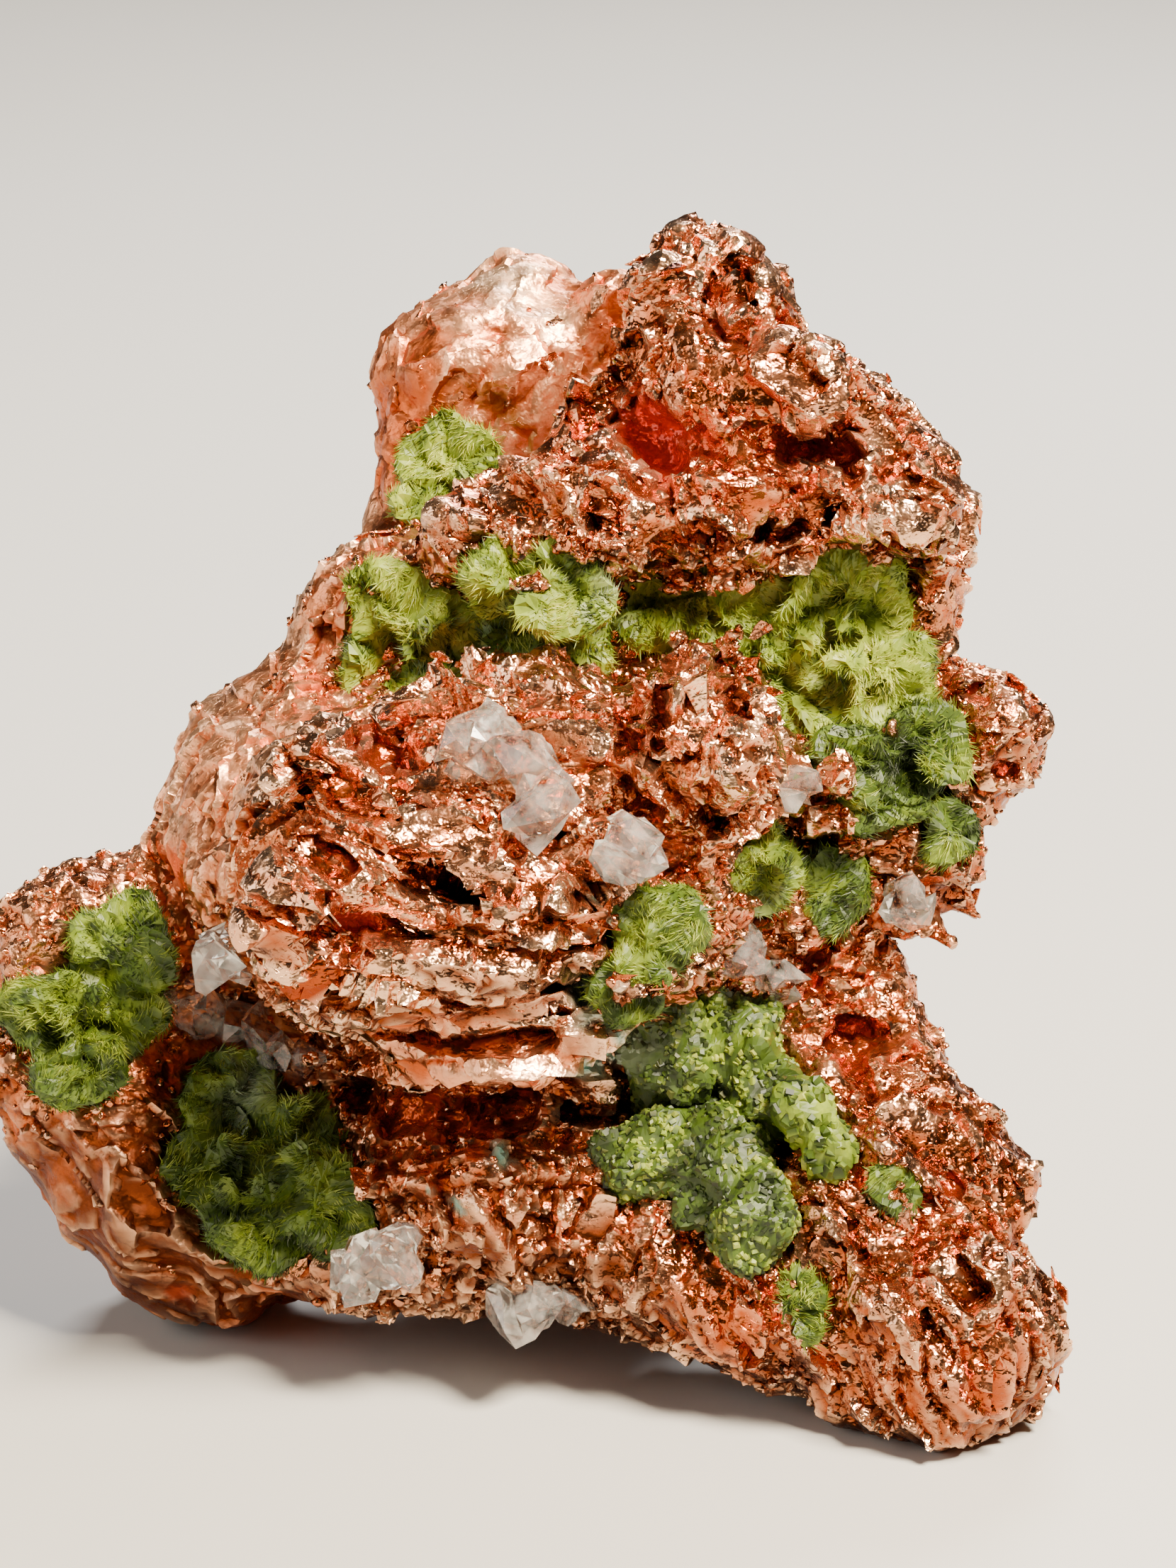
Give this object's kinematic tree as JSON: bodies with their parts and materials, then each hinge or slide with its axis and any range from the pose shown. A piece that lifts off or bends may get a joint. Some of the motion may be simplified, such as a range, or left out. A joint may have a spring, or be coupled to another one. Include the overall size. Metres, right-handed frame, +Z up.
{
  "type": "native copper specimen with epidote and quartz",
  "caption": "Upright lump of foiled, pitted native copper on three feet, with green epidote and clear quartz set in its pockets.",
  "frame": {"origin": "on the resting plane, under the middle of the specimen's bounding box", "axes": "+Z up, +X to the right of the show face, -Y out of the show face, which leans back 20 degrees"},
  "size_m": [0.0402, 0.0304, 0.0408],
  "materials": {
    "copper": "bright, rough native copper, redder in its pits",
    "epidote": "granular, vitreous, pistachio green",
    "quartz": "clear to milky, broken faces"
  },
  "bodies": {
    "root": {"copper": "copper", "epidote_upper_left": "epidote", "epidote_upper_middle": "epidote", "epidote_band": "epidote", "epidote_right": "epidote", "epidote_middle": "epidote", "epidote_small_ball": "epidote", "epidote_pocket": "epidote", "epidote_cluster": "epidote", "epidote_crystals_by_cluster": "epidote", "epidote_left": "epidote", "epidote_lower_left": "epidote", "epidote_far_lobe": "epidote", "epidote_right_edge": "epidote", "epidote_foot_upper": "epidote", "epidote_foot_lower": "epidote", "epidote_back": "epidote", "epidote_back_low": "epidote", "quartz_brow": "quartz", "quartz_hump": "quartz", "quartz_by_band": "quartz", "quartz_under_ball": "quartz", "quartz_left_pocket": "quartz", "quartz_left_sheet": "quartz", "quartz_low_left": "quartz", "quartz_low_middle": "quartz", "quartz_right_edge": "quartz", "quartz_back": "quartz"}
  },
  "joints": []
}
